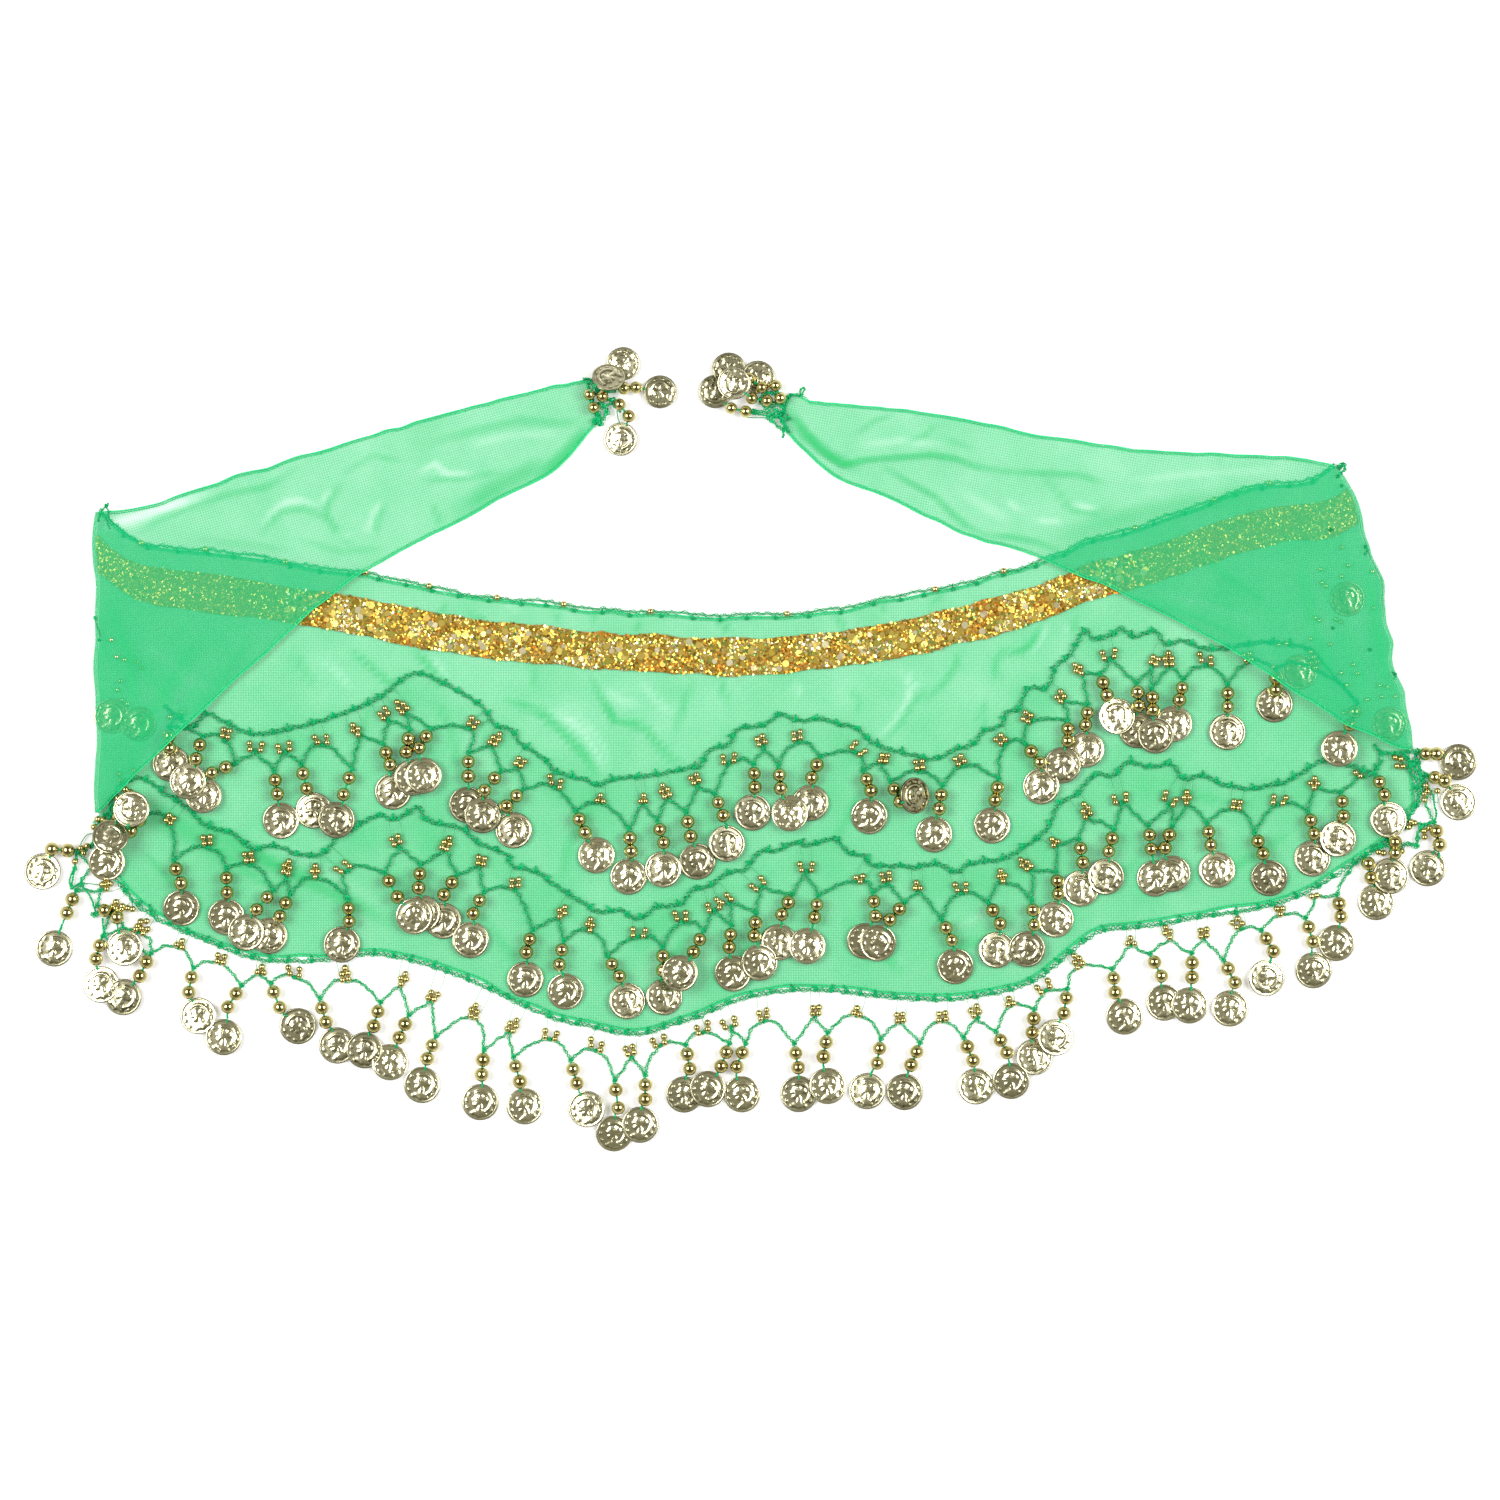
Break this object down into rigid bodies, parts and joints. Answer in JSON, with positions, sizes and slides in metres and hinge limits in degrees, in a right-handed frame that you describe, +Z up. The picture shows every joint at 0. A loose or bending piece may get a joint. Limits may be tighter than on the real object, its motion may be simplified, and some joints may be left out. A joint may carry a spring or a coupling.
{
  "type": "belly dance hip scarf",
  "caption": "Sheer chiffon hip scarf laid flat with its tails folded over, a sequin ribbon across the top, and crocheted net rows hung with gilt beads and stamped coins.",
  "frame": {"origin": "middle of the footprint, on the surface that the scarf lies on", "axes": "+X along the scarf's length, towards the right tail as seen from above; +Y from the fringed bottom hem towards the top edge and the tips of the tails; +Z up, out of the cloth's face"},
  "size_m": [0.8706, 0.4847, 0.0121],
  "materials": {
    "chiffon_panel": "sheer plain-woven chiffon, soft sheen",
    "chiffon_tail_left": "sheer plain-woven chiffon, soft sheen",
    "chiffon_tail_right": "sheer plain-woven chiffon, soft sheen",
    "sequins": "gold sequins sewn close together on a ribbon",
    "gilt_row_upper": "gilt beads and stamped coins on green crochet thread",
    "gilt_row_lower": "gilt beads and stamped coins on green crochet thread",
    "gilt_hem_fringe": "gilt beads and stamped coins on green crochet thread",
    "gilt_tassel_left": "gilt beads and stamped coins on green thread",
    "gilt_tassel_right": "gilt beads and stamped coins on green thread"
  },
  "bodies": {
    "root": {"panel": "chiffon_panel", "tail_left": "chiffon_tail_left", "tail_right": "chiffon_tail_right", "sequin_band": "sequins", "crochet_row_upper": "gilt_row_upper", "crochet_row_lower": "gilt_row_lower", "hem_fringe": "gilt_hem_fringe", "tassel_left": "gilt_tassel_left", "tassel_right": "gilt_tassel_right"}
  },
  "joints": []
}
